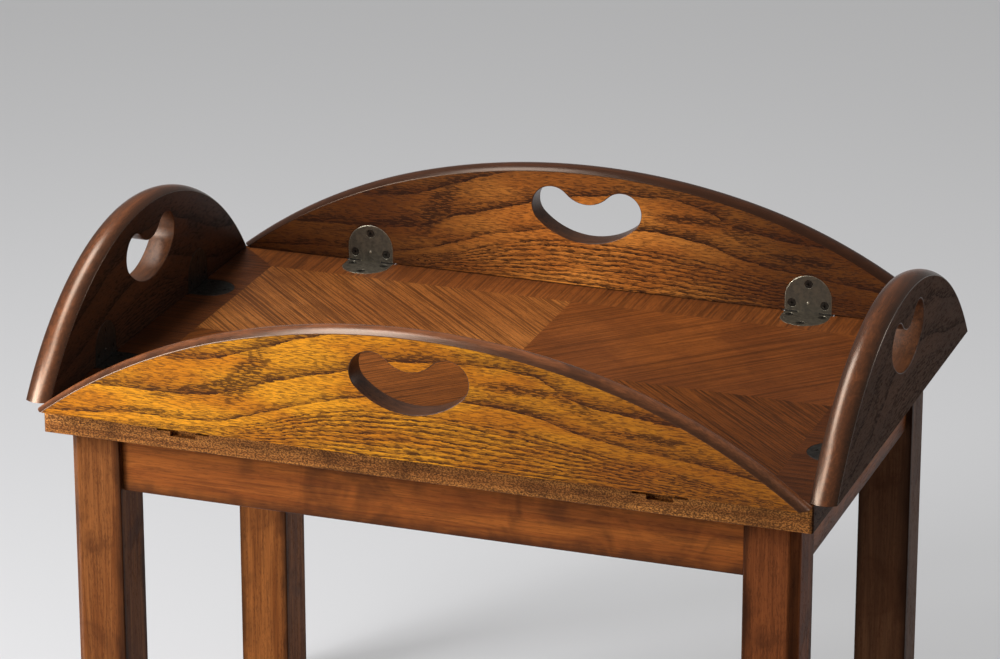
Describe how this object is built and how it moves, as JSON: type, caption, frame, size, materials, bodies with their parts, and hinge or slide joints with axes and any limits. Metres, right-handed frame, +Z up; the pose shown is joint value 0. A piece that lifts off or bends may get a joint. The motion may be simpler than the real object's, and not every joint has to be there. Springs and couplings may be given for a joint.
{
  "type": "oval coffee table",
  "caption": "Low oval coffee table: a rectangular veneered board on square legs, with hinged rounded leaves that stand up as tray sides and fold flat, each with a hand hole.",
  "frame": {"origin": "centre of the footprint at floor level, the leaves upright", "axes": "+Z up, +X along the long side of the board to the right, -Y the side facing the viewer in the picture"},
  "size_m": [0.748, 0.502, 0.5657],
  "materials": {
    "core_wood": "unfinished wood core",
    "board_edge_wood": "oiled golden brown oak, satin",
    "border_veneer": "cross-grained oak veneer, satin lacquer",
    "quarter_veneer": "diagonal ribbon-grain oak veneer, satin lacquer",
    "leg_wood": "golden brown oak with darkened edges, satin",
    "apron_wood": "reddish brown oak, satin",
    "leaf_wood": "golden orange oak with dark grain, satin lacquer",
    "block_wood": "plain sawn wood",
    "hinge_metal": "darkened antique finish, semi-gloss",
    "hinge_screw": "darkened antique finish, bright at the rims",
    "plain_steel": "bright zinc plated",
    "glide_plastic": "matt"
  },
  "bodies": {
    "table": {"board_core": "core_wood", "lipping_front": "board_edge_wood", "border_front": "border_veneer", "apron_front": "apron_wood", "board_plate_front_left": "hinge_metal", "board_plate_front_right": "hinge_metal", "lipping_right": "board_edge_wood", "border_right": "border_veneer", "apron_right": "apron_wood", "board_plate_right_front": "hinge_metal", "board_plate_right_back": "hinge_metal", "lipping_back": "board_edge_wood", "border_back": "border_veneer", "apron_back": "apron_wood", "board_plate_back_left": "hinge_metal", "board_plate_back_right": "hinge_metal", "lipping_left": "board_edge_wood", "border_left": "border_veneer", "apron_left": "apron_wood", "board_plate_left_front": "hinge_metal", "board_plate_left_back": "hinge_metal", "quarter_front_left": "quarter_veneer", "leg_front_left": "leg_wood", "block_front_left": "block_wood", "quarter_front_right": "quarter_veneer", "leg_front_right": "leg_wood", "block_front_right": "block_wood", "quarter_back_left": "quarter_veneer", "leg_back_left": "leg_wood", "block_back_left": "block_wood", "quarter_back_right": "quarter_veneer", "leg_back_right": "leg_wood", "block_back_right": "block_wood", "leg_bolts": "plain_steel", "leg_washers": "plain_steel", "leg_nuts": "plain_steel", "apron_screws": "plain_steel", "board_screws": "plain_steel", "hinge_pins": "plain_steel", "catch_springs": "plain_steel", "board_plate_screws": "hinge_screw", "foot_glides": "glide_plastic"},
    "front_leaf": {"leaf_front": "leaf_wood", "leaf_screws_front": "hinge_screw", "leaf_plate_front_left": "hinge_metal", "leaf_plate_front_right": "hinge_metal"},
    "right_leaf": {"leaf_right": "leaf_wood", "leaf_screws_right": "hinge_screw", "leaf_plate_right_front": "hinge_metal", "leaf_plate_right_back": "hinge_metal"},
    "back_leaf": {"leaf_back": "leaf_wood", "leaf_screws_back": "hinge_screw", "leaf_plate_back_left": "hinge_metal", "leaf_plate_back_right": "hinge_metal"},
    "left_leaf": {"leaf_left": "leaf_wood", "leaf_screws_left": "hinge_screw", "leaf_plate_left_front": "hinge_metal", "leaf_plate_left_back": "hinge_metal"}
  },
  "joints": [
    {"name": "front_leaf_fold", "type": "hinge", "parent": "table", "child": "front_leaf", "pos_m": [0, -0.2295, 0.4425], "axis": [1, 0, 0], "range_deg": [0, 90]},
    {"name": "back_leaf_fold", "type": "hinge", "parent": "table", "child": "back_leaf", "pos_m": [0, 0.2295, 0.4425], "axis": [-1, 0, 0], "range_deg": [0, 90]},
    {"name": "left_leaf_fold", "type": "hinge", "parent": "table", "child": "left_leaf", "pos_m": [-0.3525, 0, 0.4425], "axis": [0, -1, 0], "range_deg": [0, 90]},
    {"name": "right_leaf_fold", "type": "hinge", "parent": "table", "child": "right_leaf", "pos_m": [0.3525, 0, 0.4425], "axis": [0, 1, 0], "range_deg": [0, 90]}
  ]
}
